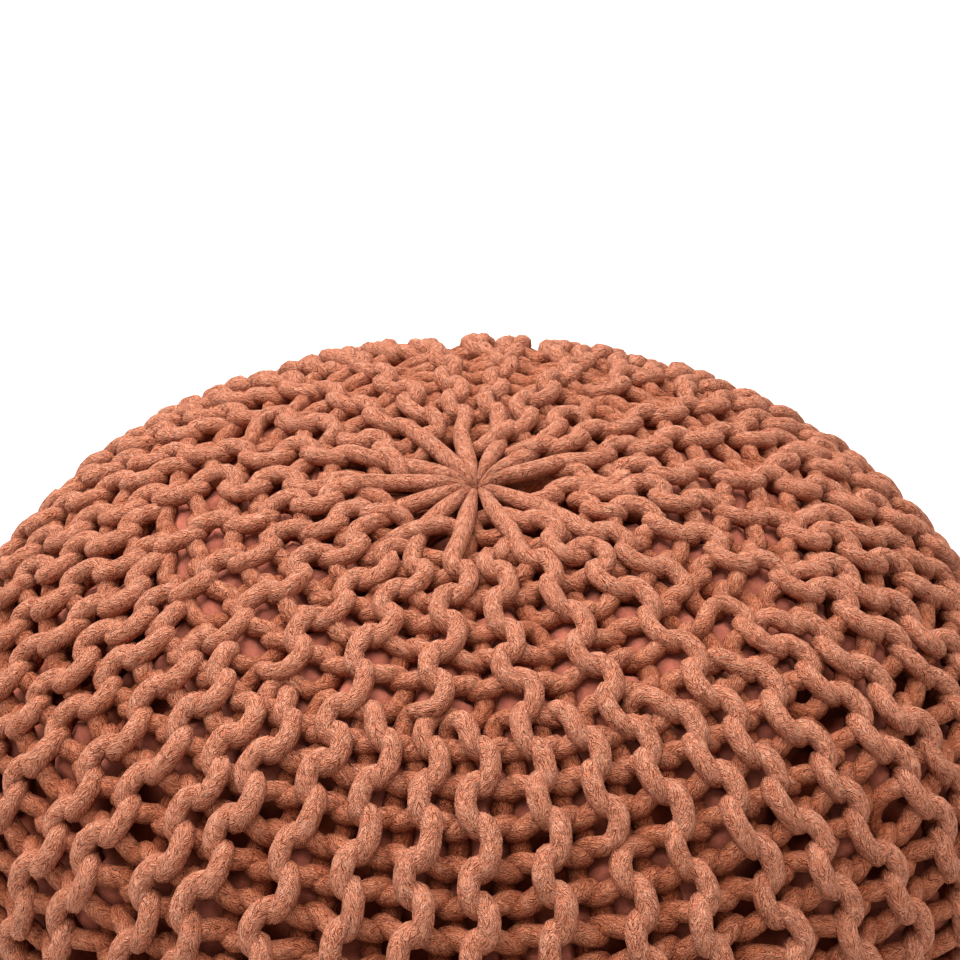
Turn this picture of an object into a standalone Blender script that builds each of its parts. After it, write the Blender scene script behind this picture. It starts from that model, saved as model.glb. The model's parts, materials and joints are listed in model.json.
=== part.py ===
"""Knitted floor pouf: a thick cotton-cord knit cover, gathered at both poles, over a filled cloth casing.

Metres, +Z up. The origin is on the floor, under the middle. Azimuth 0 is the front (-Y) and grows
towards +X. Places on the cover are given by azimuth and by the arc length from the top pole.
"""
import math

import bmesh
import bpy
import numpy as np

# ---- driving dimensions -------------------------------------------------------------------------
RADIUS = 0.250            # out to the crests of the ridges, at the widest place
HEIGHT = 0.320
WIDEST_Z = 0.165          # height of the widest place
CROWN_POWER = 2.37        # roundness of the upper half: 2 is an ellipse, more is boxier
BASE_POWER = 2.6          # the same for the lower half
BASE_SAG = 0.012          # how far the lower half would reach below the floor if nothing bore it
DIMPLE_DEPTH = 0.004      # the knit sinks a little where its cords are drawn together
DIMPLE_RADIUS = 0.045
SLOPE_SPAN = 0.006        # the outline's slope at a point is taken over this length each way

RIDGES = 48               # garter ridges round the side
KNIT_THICKNESS = 0.016    # the knit is two cords deep
RIDGE_DEPTH = 0.008       # one cord, from crest to valley
PRESSED_FROM = 0.56       # arc lengths between which the weight presses the ridges flat
PRESSED_TO = 0.62
CREST_SHARE = 0.19        # half the crest's flat, as a share of the distance between ridges
WAVE = 0.004              # sideways swing of each ridge from ring to ring
DRIFT_MEAN = 1.9          # degrees: the ridges lie a little unevenly round the pouf
DRIFT_SWING = 1.3
DRIFT_PHASE = 51.0

CASING_PLAY = 0.0045      # between the knit and the casing on the top and sides
CASING_SEAT = 0.0004      # between them underneath, where the casing rests on the knit
CASING_STEPS = 48
CASING_RINGS = 26

# ---- rings of the knit, by arc length from the top pole -------------------------------------------
# start: the first ring's arc length. step: from ring to ring. rings: how many. share: ridges are
# RIDGES / share, because short rows end where the ridges crowd. gaps: which rings have gaps between
# their ridges, as "none", "odd" (every second ring, all valleys) or "staggered" (each ring, every
# second valley in turn).
ZONES = (
    dict(start=0.014, step=0.0185, rings=3, share=4, gaps="none"),
    dict(start=0.070, step=0.0125, rings=7, share=2, gaps="odd"),
    dict(start=0.156, step=0.0330, rings=12, share=1, gaps="staggered"),
    dict(start=0.545, step=0.0250, rings=3, share=2, gaps="none"),
    dict(start=0.620, step=0.0250, rings=2, share=4, gaps="none"),
)
LAST_STAGGERED_RING = 9   # below it the side turns under, and the gaps stop

GAP_HALF_WIDTH = 0.0068   # the widest, between two ridges
GAP_WIDTH_SHARE = 0.25    # and no more than this share of the distance between ridges
GAP_HALF_HEIGHT = 0.0085
TOP_INNER_ARCS = (0.024, 0.048)
BASE_INNER_ARCS = (0.505, 0.540, 0.580, 0.625, 0.662)
INNER_EDGE_ABOVE = 0.012  # from the first row of gaps up to the inner ring above it
INNER_EDGE_BELOW = 0.020  # and from the last row down to the one below it

CORD_COLOUR = (0.539, 0.202, 0.125, 1.0)
CASING_COLOUR = (0.434, 0.127, 0.084, 1.0)


# ---- the outline ----------------------------------------------------------------------------------
def outline_table(samples=4000):
    """Arc length, radius and height of the crests' outline, from the top pole to the bottom one."""
    turn = np.linspace(0.0, math.pi, samples)
    upper = turn < math.pi / 2
    power = np.where(upper, CROWN_POWER, BASE_POWER)
    reach = np.where(upper, HEIGHT - WIDEST_Z, WIDEST_Z + BASE_SAG)
    radius = RADIUS * np.abs(np.sin(turn)) ** (2 / power)
    height = WIDEST_Z + np.sign(np.cos(turn)) * reach * np.abs(np.cos(turn)) ** (2 / power)
    height -= np.where(upper, DIMPLE_DEPTH * np.exp(-(radius / DIMPLE_RADIUS) ** 2), 0.0)
    height = np.maximum(height, 0.0)
    arc = np.concatenate([[0.0], np.cumsum(np.hypot(np.diff(radius), np.diff(height)))])
    return arc, radius, height


ARC, ARC_RADIUS, ARC_HEIGHT = outline_table()
ARC_END = float(ARC[-1])


def outline(arc, depth=0.0):
    """Radius and height at an arc length, moved in by a depth at right angles to the outline."""
    here = np.array([np.interp(arc, ARC, ARC_RADIUS), np.interp(arc, ARC, ARC_HEIGHT)])
    near = [max(arc - SLOPE_SPAN, 0.0), min(arc + SLOPE_SPAN, ARC_END)]
    run = np.diff(np.interp(near, ARC, ARC_RADIUS))[0]
    rise = np.diff(np.interp(near, ARC, ARC_HEIGHT))[0]
    inward = np.array([rise, -run]) / math.hypot(run, rise)
    radius, height = here + depth * inward
    return max(float(radius), 0.0), float(height)


def place(azimuth, arc, depth=0.0):
    """The point at an azimuth and an arc length, a depth below the crests."""
    radius, height = outline(arc, depth)
    return radius * math.sin(azimuth), -radius * math.cos(azimuth), height


def drifted(azimuth):
    """An even azimuth moved to where the knit's uneven tension puts it."""
    swing = math.radians(DRIFT_SWING) * math.sin(2 * azimuth + math.radians(DRIFT_PHASE))
    return azimuth + math.radians(DRIFT_MEAN) - swing


def relief(arc):
    """Depth of the valleys: full on the top and sides, pressed flat under the middle."""
    share = (PRESSED_TO - arc) / (PRESSED_TO - PRESSED_FROM)
    return RIDGE_DEPTH * min(max(share, 0.0), 1.0)


# ---- rings ----------------------------------------------------------------------------------------
def ring_rows():
    """One row for each ring of the outer side, from the top to the bottom."""
    rows = []
    for zone in ZONES:
        for number in range(zone["rings"]):
            if zone["gaps"] == "odd":
                gap_valleys = "all" if number % 2 else None
            elif zone["gaps"] == "staggered":
                parity = "even" if number % 2 else "odd"
                gap_valleys = parity if 0 < number <= LAST_STAGGERED_RING else None
            else:
                gap_valleys = None
            rows.append(dict(arc=zone["start"] + number * zone["step"],
                             ridges=RIDGES // zone["share"], gaps=gap_valleys))
    return rows


def has_gap(row, valley):
    parities = {"all": (0, 1), "even": (0,), "odd": (1,)}
    return row["gaps"] is not None and valley % 2 in parities[row["gaps"]]


def ridge_azimuth(row, number):
    """Azimuth of a ridge, or with a half number of the valley beside it."""
    pitch = 2 * math.pi / row["ridges"]
    first = 2 * math.pi / RIDGES      # the rows that run on to the pole are every second ridge
    swing = WAVE / outline(row["arc"])[0] if row["ridges"] > RIDGES // 4 else 0.0
    return drifted(first + number * pitch) + swing * row["side"]


def add_outer_ring(mesh, row):
    """Vertices of a ring: for each ridge its left and right edge, then the valley after it."""
    row["columns"] = []
    for ridge in range(row["ridges"]):
        for offset in (-CREST_SHARE, CREST_SHARE, 0.5):
            azimuth = ridge_azimuth(row, ridge + offset)
            valley = offset == 0.5
            vertex = None
            if not (valley and has_gap(row, ridge)):
                vertex = mesh.verts.new(place(azimuth, row["arc"], relief(row["arc"]) if valley else 0.0))
            row["columns"].append((azimuth, vertex))


# ---- joining loops --------------------------------------------------------------------------------
def zip_loops(mesh, upper, lower):
    """Triangles between two closed loops of (azimuth, vertex), each turning the same way."""
    turn = 2 * math.pi
    ring_a = upper + [(upper[0][0] + turn, upper[0][1])]
    ring_b = lower + [(lower[0][0] + turn, lower[0][1])]
    a = b = 0
    while a < len(upper) or b < len(lower):
        step_a = ring_a[a + 1][0] if a < len(upper) else math.inf
        step_b = ring_b[b + 1][0] if b < len(lower) else math.inf
        if step_a <= step_b:
            mesh.faces.new((ring_a[a][1], ring_b[b][1], ring_a[a + 1][1]))
            a += 1
        else:
            mesh.faces.new((ring_a[a][1], ring_b[b][1], ring_b[b + 1][1]))
            b += 1


def cap(mesh, loop, centre):
    """A fan from a ring to the pole."""
    pole = mesh.verts.new(centre)
    for (_, first), (_, second) in zip(loop, loop[1:] + loop[:1]):
        mesh.faces.new((first, second, pole))


def gap_corners(row, valley):
    """Azimuth and arc length of a gap's four corners: up, right, down and left."""
    azimuth = ridge_azimuth(row, valley + 0.5)
    radius = outline(row["arc"])[0]
    pitch = 2 * math.pi * radius / row["ridges"]
    half = min(GAP_HALF_WIDTH, GAP_WIDTH_SHARE * pitch) / radius
    return [(azimuth, row["arc"] - GAP_HALF_HEIGHT), (azimuth + half, row["arc"]),
            (azimuth, row["arc"] + GAP_HALF_HEIGHT), (azimuth - half, row["arc"])], half * radius / pitch


def add_gap(mesh, above, row, below, valley):
    """The knit round one gap, and the gap's walls down to the cover's inner side."""
    corners, width_share = gap_corners(row, valley)
    slope_share = 1.0 - width_share / (0.5 - CREST_SHARE)
    deep = relief(row["arc"])
    depths = (deep, deep * slope_share, deep, deep * slope_share)
    outer = [mesh.verts.new(place(*corner, depth)) for corner, depth in zip(corners, depths)]
    inner = [mesh.verts.new(place(*corner, KNIT_THICKNESS)) for corner in corners]
    up, right, down, left = outer
    column = 3 * valley + 2
    ring = [[line["columns"][(column + step) % len(line["columns"])][1] for step in (-1, 0, 1)]
            for line in (above, row, below)]
    (a, b, c), (d, _, e), (f, g, h) = ring
    patch = ((a, up, b), (b, up, c), (c, up, right), (c, right, e), (e, right, h), (h, right, down),
             (h, down, g), (g, down, f), (f, down, left), (f, left, d), (d, left, a), (a, left, up))
    for corner_vertices in patch:
        mesh.faces.new(corner_vertices)
    for side in range(4):
        after = (side + 1) % 4
        mesh.faces.new((outer[side], inner[side], inner[after], outer[after]))
    row["inner_gaps"].append(dict(azimuth=corners[0][0], corners=inner))


def join_rings(mesh, rows, number):
    """The strip between a ring and the next, leaving out what the gaps' own patches fill."""
    upper, lower = rows[number], rows[number + 1]
    if upper["ridges"] != lower["ridges"]:
        zip_loops(mesh, upper["columns"], lower["columns"])
        return
    count = len(upper["columns"])
    for column in range(count):
        after = (column + 1) % count
        corners = (upper["columns"][column][1], lower["columns"][column][1],
                   lower["columns"][after][1], upper["columns"][after][1])
        ridge, part = divmod(column, 3)
        beside_gap = part > 0 and any(has_gap(row, ridge) for row in (upper, lower))
        if not beside_gap:
            mesh.faces.new(corners)


def add_outer_side(mesh):
    rows = ring_rows()
    for number, row in enumerate(rows):
        row["side"] = 1 if number % 2 else -1
        row["inner_gaps"] = []
        add_outer_ring(mesh, row)
    for number in range(len(rows) - 1):
        join_rings(mesh, rows, number)
    for number, row in enumerate(rows):
        for valley in range(row["ridges"]):
            if has_gap(row, valley):
                add_gap(mesh, rows[number - 1], row, rows[number + 1], valley)
    cap(mesh, rows[0]["columns"], place(0.0, 0.0))
    cap(mesh, rows[-1]["columns"], place(0.0, ARC_END))
    return [row for row in rows if row["inner_gaps"]]


# ---- the cover's inner side -------------------------------------------------------------------------
def add_inner_ring(mesh, arc, azimuths):
    return [(azimuth, mesh.verts.new(place(azimuth, arc, KNIT_THICKNESS))) for azimuth in azimuths]


def middles(azimuths):
    """The azimuths half way between neighbours in a ring."""
    after = azimuths[1:] + [azimuths[0] + 2 * math.pi]
    return [(first + second) / 2 for first, second in zip(azimuths, after)]


def add_inner_band(mesh, upper, lower, gaps, upper_at_gaps):
    """The strip with one row of gaps. One of its rings has a vertex in line with each gap."""
    for number, gap in enumerate(gaps):
        up, right, down, left = gap["corners"]
        next_up, _, next_down, next_left = gaps[(number + 1) % len(gaps)]["corners"]
        at, beside = (upper, lower) if upper_at_gaps else (lower, upper)
        near, far = (up, down) if upper_at_gaps else (down, up)
        next_near, next_far = (next_up, next_down) if upper_at_gaps else (next_down, next_up)
        here, after = at[number][1], at[(number + 1) % len(at)][1]
        middle, before = beside[number][1], beside[number - 1][1]
        for corners in ((far, before, middle), (near, here, after), (near, after, next_near),
                        (near, next_near, right), (right, next_near, next_left),
                        (right, next_left, middle), (next_left, next_far, middle),
                        (right, middle, far)):
            mesh.faces.new(corners)


def add_inner_side(mesh, gap_rows):
    """The cover's smooth inner side, one knit thickness in, with the same gaps."""
    azimuths = [gap["azimuth"] for gap in gap_rows[0]["inner_gaps"]]
    rings = [add_inner_ring(mesh, arc, azimuths) for arc in TOP_INNER_ARCS]
    arcs = [row["arc"] for row in gap_rows]
    edges = [(a + b) / 2 for a, b in zip(arcs, arcs[1:])]
    edges = [arcs[0] - INNER_EDGE_ABOVE, *edges, arcs[-1] + INNER_EDGE_BELOW]
    rings.append(add_inner_ring(mesh, edges[0], azimuths))
    for upper, lower in zip(rings, rings[1:]):
        zip_loops(mesh, upper, lower)
    cap(mesh, rings[0], place(0.0, 0.0, KNIT_THICKNESS))
    current = rings[-1]
    at_gaps = True
    for row, edge in zip(gap_rows, edges[1:]):
        gaps = row["inner_gaps"]
        own = [gap["azimuth"] for gap in gaps]
        following = add_inner_ring(mesh, edge, middles(own) if at_gaps else own)
        add_inner_band(mesh, current, following, gaps, at_gaps)
        current = following
        if row["gaps"] == "all":
            at_gaps = not at_gaps
    for arc in BASE_INNER_ARCS:
        following = add_inner_ring(mesh, arc, [azimuth for azimuth, _ in current])
        zip_loops(mesh, current, following)
        current = following
    cap(mesh, current, place(0.0, ARC_END, KNIT_THICKNESS))


# ---- objects --------------------------------------------------------------------------------------
def material(name, colour, roughness):
    made = bpy.data.materials.new(name)
    made.use_nodes = True
    shader = made.node_tree.nodes["Principled BSDF"]
    shader.inputs["Base Color"].default_value = colour
    shader.inputs["Roughness"].default_value = roughness
    shader.inputs["Metallic"].default_value = 0.0
    return made


def add_object(name, mesh_data, collection, finish):
    thing = bpy.data.objects.new(name, mesh_data)
    thing.data.materials.append(finish)
    collection.objects.link(thing)
    return thing


def knit_cover(collection):
    """The knit: ridges of garter stitch from pole to pole, with gaps through to its inner side."""
    mesh = bmesh.new()
    gap_rows = add_outer_side(mesh)
    add_inner_side(mesh, gap_rows)
    bmesh.ops.triangulate(mesh, faces=mesh.faces)
    bmesh.ops.recalc_face_normals(mesh, faces=mesh.faces)
    data = bpy.data.meshes.new("knit_cover")
    mesh.to_mesh(data)
    mesh.free()
    return add_object("knit_cover", data, collection, material("cotton_cord", CORD_COLOUR, 0.9))


def inner_casing(collection):
    """The filled cloth casing inside the knit: a turned shape."""
    points = []
    for step in range(CASING_RINGS + 1):
        arc = ARC_END * step / CASING_RINGS
        radius, height = outline(arc, KNIT_THICKNESS + CASING_PLAY)
        if step in (0, CASING_RINGS):
            radius = 0.0
        points.append((radius, 0.0, max(height, KNIT_THICKNESS + CASING_SEAT)))
    data = bpy.data.meshes.new("inner_casing")
    data.from_pydata(points, [(i, i + 1) for i in range(CASING_RINGS)], [])
    casing = add_object("inner_casing", data, collection, material("casing_cloth", CASING_COLOUR, 0.85))
    screw = casing.modifiers.new("Turn", "SCREW")
    screw.steps = screw.render_steps = CASING_STEPS
    screw.use_merge_vertices = True
    screw.merge_threshold = 0.00005
    screw.use_smooth_shade = True
    return casing


def main():
    for old in list(bpy.data.objects):
        bpy.data.objects.remove(old, do_unlink=True)
    collection = bpy.data.collections.new("knitted_pouf")
    bpy.context.scene.collection.children.link(collection)
    knit_cover(collection)
    inner_casing(collection)


main()
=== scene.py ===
"""Looks of the knitted pouf: a cover of thick cotton cord in garter stitch over a padded cloth casing.

The cover's rows run from the middle of the top to the middle of the base. A place on the pouf is given
by its azimuth, by its arc length down the side from the middle of the top, and by its depth under the
outline. Azimuth 0 faces the camera. Along a row, places are counted in stitches. All lengths are in
metres.
"""

import json
import math

import bpy
import numpy as np
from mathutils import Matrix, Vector

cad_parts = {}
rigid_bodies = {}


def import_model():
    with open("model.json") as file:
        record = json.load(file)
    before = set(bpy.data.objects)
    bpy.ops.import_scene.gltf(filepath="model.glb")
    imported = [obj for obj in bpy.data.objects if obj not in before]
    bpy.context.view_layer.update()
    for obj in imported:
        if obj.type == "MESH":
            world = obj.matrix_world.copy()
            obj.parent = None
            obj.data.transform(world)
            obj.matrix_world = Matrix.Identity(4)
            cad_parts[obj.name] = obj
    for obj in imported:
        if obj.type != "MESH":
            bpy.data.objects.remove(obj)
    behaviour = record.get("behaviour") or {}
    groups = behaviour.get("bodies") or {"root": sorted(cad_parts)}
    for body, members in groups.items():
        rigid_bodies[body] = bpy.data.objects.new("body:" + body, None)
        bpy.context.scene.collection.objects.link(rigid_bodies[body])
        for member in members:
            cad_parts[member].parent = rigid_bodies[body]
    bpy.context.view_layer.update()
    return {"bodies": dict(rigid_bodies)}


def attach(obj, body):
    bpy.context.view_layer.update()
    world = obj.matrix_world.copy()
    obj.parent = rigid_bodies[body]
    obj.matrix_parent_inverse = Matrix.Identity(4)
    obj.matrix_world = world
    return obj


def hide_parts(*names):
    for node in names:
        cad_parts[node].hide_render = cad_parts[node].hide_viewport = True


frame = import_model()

# The pouf's side profile, from the part's own driving dimensions.
RADIUS = 0.250
HEIGHT = 0.320
WIDEST_Z = 0.165
CROWN_POWER = 2.37        # roundness of the upper half: 2 is an ellipse, more is boxier
BASE_POWER = 2.6
BASE_SAG = 0.012          # how far the lower half would reach below the floor if nothing bore it
DIMPLE_DEPTH = 0.004
DIMPLE_RADIUS = 0.045
PROFILE_STEPS = 6000
ARC_STEP = 0.001
NORMAL_BLUR = 0.012       # the normal is smoothed over this length each way

# The knitting: its ridges and rows.
RIDGES = 48
DRIFT_MEAN = math.radians(1.9)       # the ridges lie a little unevenly round the pouf
DRIFT_SWING = math.radians(1.3)
DRIFT_PHASE = math.radians(51.0)
ROW_START = 0.056                    # arc length at which a stitch count of 0 lies
ROW_STITCHES = 19
STITCH_SAMPLES = 24
SHORT_ROW_START = 3                  # stitch count at which the even ridges' rows turn
EARLY_ROW_START = -0.5               # and the odd ones' that don't run on to the pole
EARLIEST_ROW_START = -1.0
EARLIEST_RIDGES = (5, 11)
HANDOVER_START = 0.45                # stitches over which a line takes a new neighbour
HANDOVER_SPAN = 0.5
NEIGHBOURS = 8                       # how many ridges away the next line may lie
# Odd ridges that run on to the pole, and the azimuth in degrees at which each gets there.
GATHERED_TOP = (
    (47, -9), (3, 22), (7, 55), (15, 115), (19, 138), (23, 164),
    (25, 190), (29, 212), (33, 243), (37, 268), (41, 298), (45, 325),
)
BASE_GATHERED_STEP = 4               # every fourth ridge runs on to the middle of the base
BASE_GATHERED_FIRST = 3
# Arc length and depth of the cord on its way to the pole and on its way back under itself.
GATHER_UPPER = (
    (0.044, 0.0034),
    (0.034, 0.0026),
    (0.022, 0.0020),
    (0.012, 0.0014),
    (0.0065, 0.0014),
    (0.0042, 0.0034),
    (0.0030, 0.0110),
)
GATHER_LOWER = ((0.0040, 0.0170), (0.010, 0.0150), (0.022, 0.0120), (0.036, 0.0120))
GATHER_SCATTER = math.radians(4)     # how far the lower cord strays sideways from the upper one
TURN_BULGE = 1.69                    # roundness of a short row's turn
TURN_POINTS = 10

# The knitting: its stitches. Each row swings from line to line in lobes, and dips between them.
LOBE_REACH = 0.0061                  # how far a lobe hooks over its line
LOBE_ROUND = 0.08                    # how square a row's swing from line to line is
LOBE_BULGE_TOP = 0.0061              # how far a lobe's flanks bow out along the row
LOBE_BULGE_SIDE = 0.0057
HEAD_RISE = 0.0001                   # heads lie this much prouder than feet
END_NARROWING = 0.30                 # how much less the lobes reach where a row faces front or back
ROW_DEPTH_TOP = 0.0046               # half the rise from a row's lowest to its highest place
ROW_DEPTH_SIDE = 0.0070
DEPTH_POWER = 1.5
CREST_LIFT = 0.0028                  # how far crests stand proud of the solids' outline
LIFT_END = 0.40
LIFT_FADE = 0.05
CORD_RADIUS_TOP = 0.0041
CORD_RADIUS = 0.0044                 # on the sides
NODE_STEP = 0.0040

# Unevenness, as the number of bends along a row and their standard size.
SWAY = (12, 0.0017)
SLIP = (28, 0.0014)
LOBE_WIDTH_CHANGE = (26, 0.05)
LOBE_REACH_CHANGE = (30, 0.20)
RISE_CHANGE = (26, 0.0014)
TOP_SLACK = 1.85                     # how much looser than the mean the stitches lie
SIDE_SLACK = 1.25
LEAN = 0.0012                        # sideways at the radius below
EVEN_LEAN = 0.0022
LEAN_RADIUS = 0.18

# Where the top turns into the side: from which arc length, and over what length, each thing changes.
SLACK_CHANGE = (0.10, 0.08)
BULGE_CHANGE = (0.14, 0.05)
DEPTH_CHANGE = (0.15, 0.05)
CORD_CHANGE = (0.12, 0.06)
CASING_CHANGE = (0.145, 0.05)

# How the cords settle against one another.
ROUNDS = 160
CONTACT_SHARE = 0.66                 # how near two cords come, as a share of their thickness
TENSION = 0.98
ANCHOR = 0.04
STIFFNESS = 0.012
STRETCH_SHARE = 0.45                 # share of a step's wrong length that one round mends
PUSH_SHARE = 0.30                    # share of an overlap that one round mends, for each cord
LIFT_SHARE = 0.5
PAIR_ROUNDS = 12                     # rounds between searches for cords that touch
PAIR_REACH = 1.35
NEAR_NODES = 3                       # nodes on one cord this near never push one another
GATHER_SQUEEZE = 0.42                # share of its width that the cord keeps at the poles
SQUEEZE_START = 0.003
SQUEEZE_SPAN = 0.020

rng = np.random.default_rng(11)


# ---------------------------------------------------------------- curves
def smooth_step(x):
    x = np.clip(x, 0, 1)
    return x * x * (3 - 2 * x)


def top_to_side(arc, on_top, on_side, change):
    """A value that changes softly from the one on the top to the one on the side."""
    start, span = change
    return on_top + (on_side - on_top) * smooth_step((arc - start) / span)


def through_middle(a, b, c, d, f):
    """A smooth curve through four points, at a share f of the way from b to c."""
    return b + 0.5 * f * (c - a + f * (2 * a - 5 * b + 4 * c - d + f * (3 * (b - c) + d - a)))


def closed_run(points):
    """The length run so far at each point of a closed line, and at last the whole length."""
    closed = np.vstack([points, points[:1]])
    return np.concatenate([[0], np.cumsum(np.linalg.norm(np.diff(closed, axis=0), axis=1))])


def hermite(a, b, slope_a, slope_b, count):
    """Points between a and b on a smooth curve that leaves and arrives with the given slopes."""
    f = np.linspace(0, 1, count + 2)[1:-1, None]
    return (
        a * (1 + 2 * f) * (1 - f) ** 2
        + slope_a * f * (1 - f) ** 2
        + b * f * f * (3 - 2 * f)
        + slope_b * f * f * (f - 1)
    )


def spline(points, step):
    """A smooth line through points, with about step between its samples."""
    points = np.asarray(points, float)
    ahead = np.vstack([points[1:], 2 * points[-1] - points[-2]])
    behind = np.vstack([2 * points[0] - points[1], points[:-1]])
    slope = (ahead - behind) / 2
    out = [points[:1]]
    for i in range(len(points) - 1):
        gap = np.linalg.norm(points[i + 1] - points[i])
        out.append(hermite(points[i], points[i + 1], slope[i], slope[i + 1], max(1, int(gap / step))))
        out.append(points[i + 1 : i + 2])
    return np.vstack(out)


# ---------------------------------------------------------------- profile
def side_profile():
    """Arc length, radius, height and outward normal along the side, from the pole to the base's middle."""
    turn = np.linspace(0, math.pi, PROFILE_STEPS)
    crown = turn <= math.pi / 2
    power = np.where(crown, CROWN_POWER, BASE_POWER)
    radius = RADIUS * np.abs(np.sin(turn)) ** (2 / power)
    reach = np.where(crown, HEIGHT - WIDEST_Z, WIDEST_Z + BASE_SAG)
    height = WIDEST_Z + np.sign(np.cos(turn)) * reach * np.abs(np.cos(turn)) ** (2 / power)
    height -= np.where(crown, DIMPLE_DEPTH * np.exp(-((radius / DIMPLE_RADIUS) ** 2)), 0)
    height = np.maximum(height, 0)
    arc = np.concatenate([[0], np.cumsum(np.hypot(np.diff(radius), np.diff(height)))])
    even = np.arange(0, arc[-1], ARC_STEP)
    radius = np.interp(even, arc, radius)
    height = np.interp(even, arc, height)
    # A window gets two samples more, because those at its ends are zero.
    blur_samples = int(2 * NORMAL_BLUR / ARC_STEP) + 1
    window = np.hanning(blur_samples + 2)
    window /= window.sum()
    pad = len(window) // 2
    along_r, along_z = (
        np.convolve(np.pad(np.gradient(line, even), pad, mode="edge"), window, "valid")
        for line in (radius, height)
    )
    size = np.hypot(along_r, along_z)
    return even, radius, height, -along_z / size, along_r / size


ARC, ARC_RADIUS, ARC_HEIGHT, NORMAL_R, NORMAL_Z = side_profile()
ARC_END = ARC[-1]


def ring_radius(arc):
    return np.interp(arc, ARC, ARC_RADIUS)


def normal_at(azimuth, arc):
    nr = np.interp(arc, ARC, NORMAL_R)
    nz = np.interp(arc, ARC, NORMAL_Z)
    return np.stack([nr * np.sin(azimuth), -nr * np.cos(azimuth), nz], -1)


def place(azimuth, arc, depth):
    """Points at an azimuth and an arc length from the top's middle, sunk by depth below the outline."""
    r = ring_radius(arc) - depth * np.interp(arc, ARC, NORMAL_R)
    z = np.interp(arc, ARC, ARC_HEIGHT) - depth * np.interp(arc, ARC, NORMAL_Z)
    return np.stack([r * np.sin(azimuth), -r * np.cos(azimuth), z], -1)


def beside(arc, radius, height):
    """How far down the side and how deep a point lies, seen from the outline at an arc length."""
    dr = radius - ring_radius(arc)
    dz = height - np.interp(arc, ARC, ARC_HEIGHT)
    nr = np.interp(arc, ARC, NORMAL_R)
    nz = np.interp(arc, ARC, NORMAL_Z)
    return dr * nz - dz * nr, -(dr * nr + dz * nz)


def surface_place(points):
    """Azimuth, arc length and depth of points near the surface."""
    azimuth = np.arctan2(points[:, 0], -points[:, 1])
    radius = np.hypot(points[:, 0], points[:, 1])
    height = points[:, 2]
    coarse = 4
    arc = np.zeros(len(points))
    nearest = np.full(len(points), np.inf)
    for s, r, z in zip(ARC[::coarse], ARC_RADIUS[::coarse], ARC_HEIGHT[::coarse]):
        distance = (radius - r) ** 2 + (height - z) ** 2
        nearer = distance < nearest
        nearest[nearer] = distance[nearer]
        arc[nearer] = s
    longest = coarse * ARC_STEP
    for _ in range(2):
        along, _ = beside(arc, radius, height)
        arc = np.clip(arc + np.clip(along, -longest, longest), 0, ARC_END)
    _, depth = beside(arc, radius, height)
    return azimuth, arc, depth


# ---------------------------------------------------------------- ridges
STITCH = (ARC_END - 2 * ROW_START) / ROW_STITCHES
SAMPLES = round((ROW_STITCHES - 2 * EARLIEST_ROW_START) * STITCH_SAMPLES) + 1
COUNTS = np.arange(SAMPLES) / STITCH_SAMPLES + EARLIEST_ROW_START
FROM_END = np.minimum(COUNTS, ROW_STITCHES - COUNTS)
ARCS = ROW_START + STITCH * COUNTS
RADII = ring_radius(ARCS)


def wander(bends, size):
    """A smooth random value for every sampled stitch count, with that many bends and standard size."""
    knots = rng.normal(0, size, bends + 4)
    x = np.linspace(1, bends + 2, SAMPLES)
    i = x.astype(int)
    last = len(knots) - 1
    around = (knots[np.minimum(i + k, last)] for k in (-1, 0, 1, 2))
    return through_middle(*around, x - i)


def ridge_lines():
    """The azimuth of every ridge at every sampled stitch count."""
    lines = []
    for ridge in range(RIDGES):
        base = 2 * math.pi * ridge / RIDGES
        base += DRIFT_MEAN - DRIFT_SWING * math.sin(2 * base + DRIFT_PHASE)
        sway = wander(*SWAY) / RADII
        lean = rng.normal(0, LEAN) / LEAN_RADIUS
        if ridge % 2 == 0:
            lean += rng.choice((-1, 1)) * EVEN_LEAN / LEAN_RADIUS
        lines.append(base + sway + lean * np.clip(RADII / LEAN_RADIUS, 0, 1))
    return np.array(lines)


def line_noise():
    """How unevenly the stitches on one line lie, which both rows that meet there share."""
    slack = top_to_side(ARCS, TOP_SLACK, SIDE_SLACK, SLACK_CHANGE)
    slip = slack * wander(*SLIP)
    wide = 1 + wander(*LOBE_WIDTH_CHANGE)
    far = 1 + slack * wander(*LOBE_REACH_CHANGE)
    rise = slack * wander(*RISE_CHANGE)
    return slip, wide, far, rise


RIDGE_AT = ridge_lines()
FRONT_NOISE = [line_noise() for _ in range(RIDGES)]
BACK_NOISE = [line_noise() for _ in range(RIDGES)]
for even in range(0, RIDGES, 2):
    BACK_NOISE[even] = BACK_NOISE[even - 1]
GATHERED = {ridge: math.radians(azimuth) for ridge, azimuth in GATHERED_TOP}


def row_start(ridge, end):
    """The stitch count, from that end, at which a ridge's rows turn."""
    if ridge % 2 == 0:
        return SHORT_ROW_START
    if end == "top" and ridge in EARLIEST_RIDGES:
        return EARLIEST_ROW_START
    gathered = ridge in GATHERED if end == "top" else ridge % BASE_GATHERED_STEP == BASE_GATHERED_FIRST
    return 0.0 if gathered else EARLY_ROW_START


STARTS = {end: np.array([row_start(i, end) for i in range(RIDGES)]) for end in ("top", "base")}


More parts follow.
